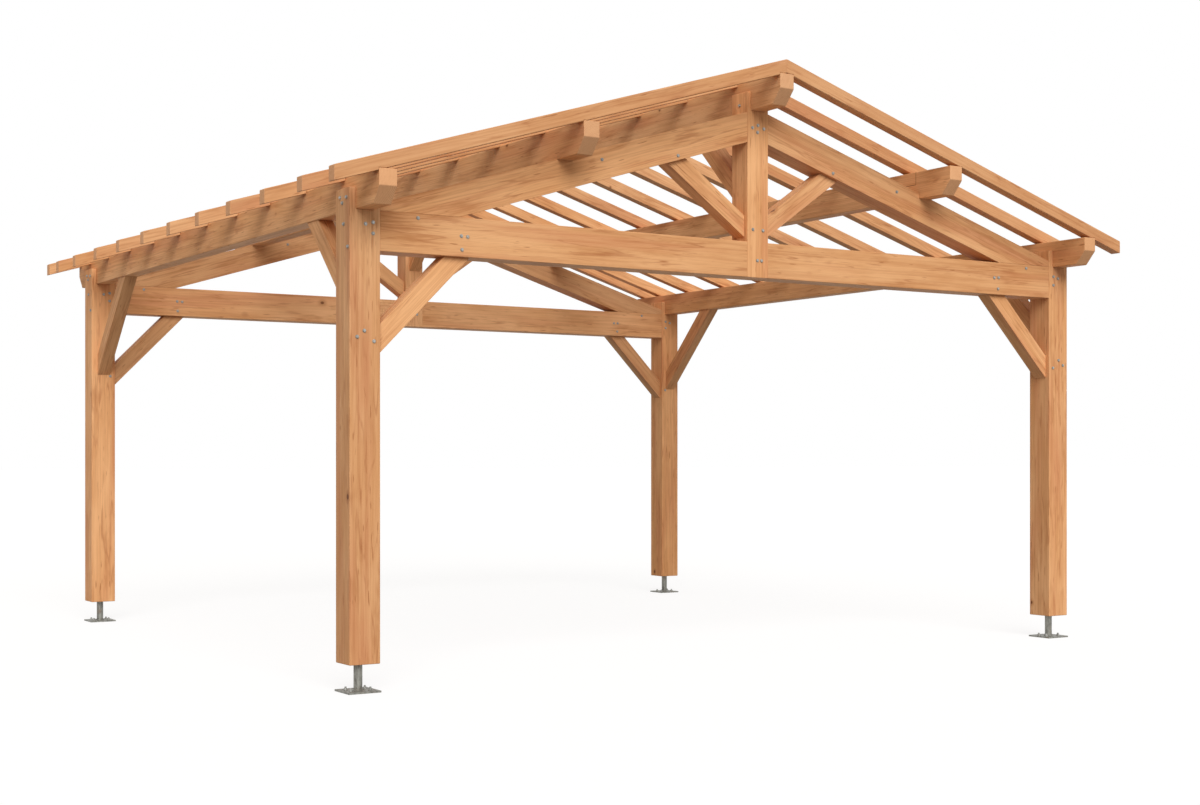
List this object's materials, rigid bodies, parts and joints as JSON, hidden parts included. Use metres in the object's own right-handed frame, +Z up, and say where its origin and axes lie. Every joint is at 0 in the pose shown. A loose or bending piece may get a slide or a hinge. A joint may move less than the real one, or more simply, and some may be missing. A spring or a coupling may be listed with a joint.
{
  "type": "double carport",
  "caption": "Open timber double carport: king-post trusses on braced square posts and steel feet, with purlins and open gable rafters.",
  "frame": {"origin": "the middle of the footprint on the ground, level with the undersides of the foot plates", "axes": "+X across the width to the right as seen from the front, +Y from the front gable to the back gable, +Z up"},
  "size_m": [5.93, 5.54, 3.686],
  "materials": {
    "timber": "planed softwood with a honey stain, fine lengthwise grain and small knots",
    "rafter_timber": "planed softwood with a honey stain, fine lengthwise grain and small knots",
    "foot_steel": "dull grey plate and tube"
  },
  "bodies": {
    "root": {"post_base_front_left": "foot_steel", "post_base_front_right": "foot_steel", "post_base_back_left": "foot_steel", "post_base_back_right": "foot_steel", "post_front_left": "timber", "post_front_right": "timber", "post_back_left": "timber", "post_back_right": "timber", "tie_beam_front": "timber", "tie_beam_back": "timber", "king_post_front": "timber", "king_post_back": "timber", "principal_front_left": "timber", "principal_front_right": "timber", "principal_back_left": "timber", "principal_back_right": "timber", "strut_front_left": "timber", "strut_front_right": "timber", "strut_back_left": "timber", "strut_back_right": "timber", "tie_brace_front_left": "timber", "tie_brace_front_right": "timber", "tie_brace_back_left": "timber", "tie_brace_back_right": "timber", "eaves_brace_front_left": "timber", "eaves_brace_front_right": "timber", "eaves_brace_back_left": "timber", "eaves_brace_back_right": "timber", "ridge_brace_front": "timber", "ridge_brace_back": "timber", "eaves_purlin_left": "timber", "eaves_purlin_right": "timber", "middle_purlin_left": "timber", "middle_purlin_right": "timber", "ridge_purlin": "timber", "rafters_front_left": "rafter_timber", "rafters_front_right": "rafter_timber", "rafters_middle_left": "rafter_timber", "rafters_middle_right": "rafter_timber", "rafters_back_left": "rafter_timber", "rafters_back_right": "rafter_timber"}
  },
  "joints": []
}
